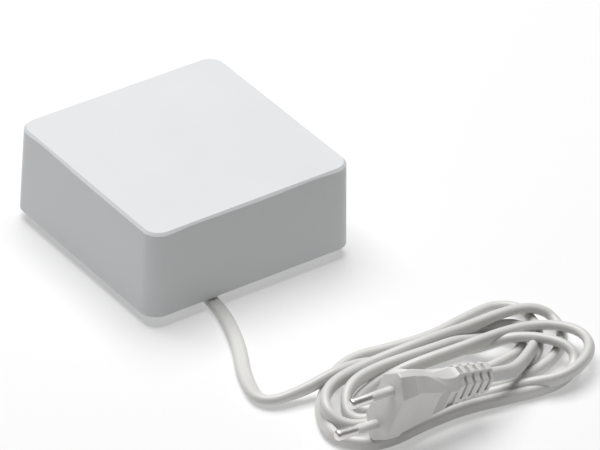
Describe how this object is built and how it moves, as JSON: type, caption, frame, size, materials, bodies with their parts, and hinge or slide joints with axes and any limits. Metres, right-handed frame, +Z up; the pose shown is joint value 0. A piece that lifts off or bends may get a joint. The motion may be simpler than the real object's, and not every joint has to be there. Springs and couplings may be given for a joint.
{
  "type": "skylight control unit",
  "caption": "Square wall or shelf control unit for a roof window, with boards inside and a flat mains cord in a loose hank that ends in a two-pin plug.",
  "frame": {"origin": "middle of the housing's footprint, on the surface it stands on", "axes": "+Z up through the blank top; the cord leaves beneath the -Y wall; +X along that wall"},
  "size_m": [0.133, 0.2146, 0.0416],
  "materials": {
    "housing_white": "fine satin moulded plastic",
    "base_grey": "satin moulded plastic",
    "zinc_steel": "zinc plated",
    "foot_rubber": "matt rubber",
    "board_green": "solder-resist gloss",
    "ferrite": "matt ceramic",
    "coil_tape": "polyester tape",
    "terminal_green": "satin plastic",
    "fuse_black": "satin plastic",
    "varistor_blue": "dipped epoxy",
    "film_yellow": "moulded box",
    "chip_black": "moulded epoxy",
    "can_sleeve": "shrink sleeve",
    "relay_black": "satin plastic",
    "tinned_steel": "tinned",
    "copper_wire": "bare wire",
    "cord_white": "satin soft cord sheath",
    "wire_brown": "satin insulation",
    "wire_blue": "satin insulation",
    "plug_white": "satin moulded plastic",
    "pin_nickel": "nickel-plated brass"
  },
  "bodies": {
    "root": {"cover": "housing_white", "base": "base_grey", "cover_screws": "zinc_steel", "rubber_feet": "foot_rubber", "circuit_board": "board_green", "board_screws": "zinc_steel", "transformer_core": "ferrite", "transformer_winding": "coil_tape", "mains_terminal": "terminal_green", "output_terminal": "terminal_green", "fuse": "fuse_black", "varistor": "varistor_blue", "filter_capacitor": "film_yellow", "bridge_rectifier": "chip_black", "mains_capacitor": "can_sleeve", "output_capacitors": "can_sleeve", "motor_relays": "relay_black", "controller_chip": "chip_black", "radio_board": "board_green", "radio_shield": "tinned_steel", "antenna": "copper_wire", "cord_grommet": "cord_white", "cord_sheath": "cord_white", "cord_clamp": "base_grey", "clamp_screws": "zinc_steel", "live_wire": "wire_brown", "neutral_wire": "wire_blue", "cord_lead": "cord_white", "cord_hank": "cord_white", "cord_tail": "cord_white", "plug_body": "plug_white", "plug_pins": "pin_nickel", "pin_sleeves": "plug_white"}
  },
  "joints": []
}
